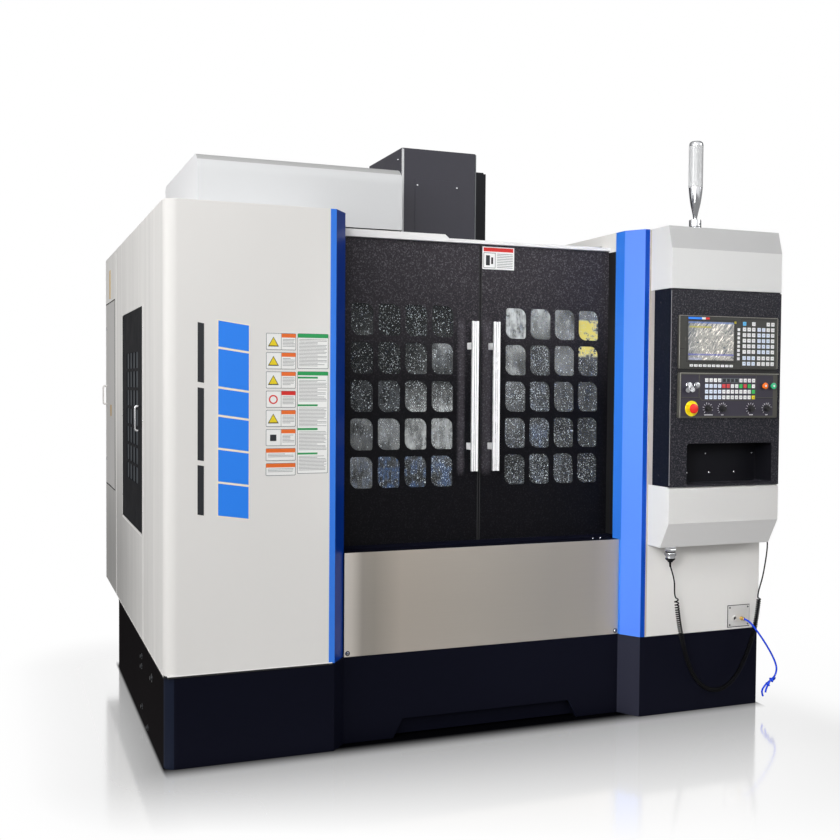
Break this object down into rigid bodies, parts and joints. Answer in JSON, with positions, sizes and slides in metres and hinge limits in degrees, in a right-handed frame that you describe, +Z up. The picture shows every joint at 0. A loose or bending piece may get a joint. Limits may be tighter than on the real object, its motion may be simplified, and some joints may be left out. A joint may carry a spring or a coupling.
{
  "type": "cnc machining center",
  "caption": "Vertical machining centre with sliding doors, control column, tool magazine, table and spindle head.",
  "frame": {"origin": "on the floor, at the middle of the machine's outer box without its free cords; X = 0 passes through the spindle axis", "axes": "+X to the operator's right, +Y to the machine's back, +Z up"},
  "size_m": [2.696, 2.412, 2.49],
  "materials": {
    "off_white": "satin powder coat",
    "light_grey": "satin powder coat",
    "black_paint": "fine textured powder coat",
    "base_paint": "satin powder coat",
    "blue_paint": "satin powder coat",
    "stainless": "horizontal brushing",
    "steel": "ground",
    "chrome": "polished",
    "grey_paint": "satin paint",
    "casting": "painted casting",
    "galvanised": "sheet",
    "glass": "clear laminated",
    "screen": "glossy",
    "black_plastic": "fine grain",
    "panel_plastic": "membrane",
    "key_plastic": "moulded",
    "red_plastic": "moulded",
    "orange_plastic": "lit button",
    "green_plastic": "lit button",
    "brass": "turned",
    "black_rubber": "smooth",
    "blue_hose": "extruded",
    "aluminium": "satin"
  },
  "bodies": {
    "frame": {"base_skirt": "base_paint", "coolant_tank": "base_paint", "chip_tray": "galvanised", "bed": "casting", "levelling_feet": "steel", "guide_rails": "steel", "column": "grey_paint", "work_area_back": "galvanised", "left_shell": "off_white", "left_trim": "blue_paint", "right_shell": "off_white", "right_trim": "blue_paint", "front_panel": "stainless", "door_sill": "base_paint", "top_rail": "off_white", "roof_left": "off_white", "magazine_cover": "light_grey", "electric_cabinet": "off_white", "control_head": "off_white", "control_housing": "black_paint", "control_lower_box": "off_white", "display_unit": "black_plastic", "screen": "screen", "keys": "key_plastic", "operator_panel": "panel_plastic", "tower_light": "aluminium", "pendant": "black_plastic", "cord_gland": "chrome", "cord_lead": "black_rubber", "cord_coil": "black_rubber", "cord_tail": "black_rubber", "air_plate": "aluminium", "air_fitting": "brass", "air_hose": "blue_hose"},
    "door_left": {"door_left": "black_paint", "door_left_glass": "glass", "door_left_handle": "chrome"},
    "door_right": {"door_right": "black_paint", "door_right_glass": "glass", "door_right_handle": "chrome"},
    "side_door": {"side_door": "black_paint", "side_door_glass": "glass", "side_door_handle": "chrome"},
    "rear_door": {"rear_door": "off_white", "rear_door_handle": "off_white"},
    "saddle": {"saddle": "casting"},
    "table": {"table": "steel"},
    "head": {"spindle_head": "casting", "head_cover": "grey_paint"},
    "spindle": {"spindle": "steel"},
    "carrier": {"carousel_carrier": "light_grey"},
    "carousel": {"tool_disc": "aluminium"},
    "stop": {"emergency_stop": "red_plastic"},
    "hold": {"hold_button": "orange_plastic"},
    "start": {"start_button": "green_plastic"},
    "knob_a": {"knob_1": "black_plastic"},
    "knob_b": {"knob_2": "black_plastic"},
    "knob_c": {"knob_3": "black_plastic"},
    "knob_d": {"knob_4": "black_plastic"},
    "handwheel": {"pendant_wheel": "black_plastic"}
  },
  "joints": [
    {"name": "door_left_slide", "type": "slide", "parent": "frame", "child": "door_left", "axis": [-1, 0, 0], "range_m": [0, 0.55]},
    {"name": "door_right_slide", "type": "slide", "parent": "frame", "child": "door_right", "axis": [1, 0, 0], "range_m": [0, 0.55]},
    {"name": "side_door_hinge", "type": "hinge", "parent": "frame", "child": "side_door", "pos_m": [-1.324, 0.353, 1.254], "axis": [0, 0, -1], "range_deg": [0, 110]},
    {"name": "rear_door_hinge", "type": "hinge", "parent": "frame", "child": "rear_door", "pos_m": [-1.324, 0.727, 1.3475], "axis": [0, 0, 1], "range_deg": [0, 110]},
    {"name": "saddle_slide_y", "type": "slide", "parent": "frame", "child": "saddle", "axis": [0, 1, 0], "range_m": [-0.25, 0.25]},
    {"name": "table_slide_x", "type": "slide", "parent": "saddle", "child": "table", "axis": [1, 0, 0], "range_m": [-0.4, 0.4]},
    {"name": "head_slide_z", "type": "slide", "parent": "frame", "child": "head", "axis": [0, 0, 1], "range_m": [-0.5, 0]},
    {"name": "spindle_turn", "type": "hinge", "parent": "head", "child": "spindle", "pos_m": [0, -0.2, 1.5], "axis": [0, 0, 1], "continuous": true},
    {"name": "carrier_slide", "type": "slide", "parent": "frame", "child": "carrier", "axis": [1, 0, 0], "range_m": [0, 0.415]},
    {"name": "carousel_turn", "type": "hinge", "parent": "carrier", "child": "carousel", "pos_m": [-0.64, -0.2, 1.45], "axis": [0, 0, 1], "continuous": true},
    {"name": "emergency_stop_press", "type": "slide", "parent": "frame", "child": "stop", "axis": [0, 1, 0], "range_m": [0, 0.006], "stiffness_N_per_m": 900},
    {"name": "hold_button_press", "type": "slide", "parent": "frame", "child": "hold", "axis": [0, 1, 0], "range_m": [0, 0.005], "stiffness_N_per_m": 300},
    {"name": "start_button_press", "type": "slide", "parent": "frame", "child": "start", "axis": [0, 1, 0], "range_m": [0, 0.005], "stiffness_N_per_m": 300},
    {"name": "knob_a_turn", "type": "hinge", "parent": "frame", "child": "knob_a", "pos_m": [0.875, -1.19, 1.321], "axis": [0, -1, 0], "range_deg": [-135, 135]},
    {"name": "knob_b_turn", "type": "hinge", "parent": "frame", "child": "knob_b", "pos_m": [0.948, -1.19, 1.321], "axis": [0, -1, 0], "range_deg": [-135, 135]},
    {"name": "knob_c_turn", "type": "hinge", "parent": "frame", "child": "knob_c", "pos_m": [1.092, -1.19, 1.321], "axis": [0, -1, 0], "range_deg": [-135, 135]},
    {"name": "knob_d_turn", "type": "hinge", "parent": "frame", "child": "knob_d", "pos_m": [1.174, -1.19, 1.321], "axis": [0, -1, 0], "range_deg": [-135, 135]},
    {"name": "handwheel_turn", "type": "hinge", "parent": "frame", "child": "handwheel", "pos_m": [1.33, -0.995, 0.935], "axis": [1, 0, 0], "continuous": true}
  ]
}
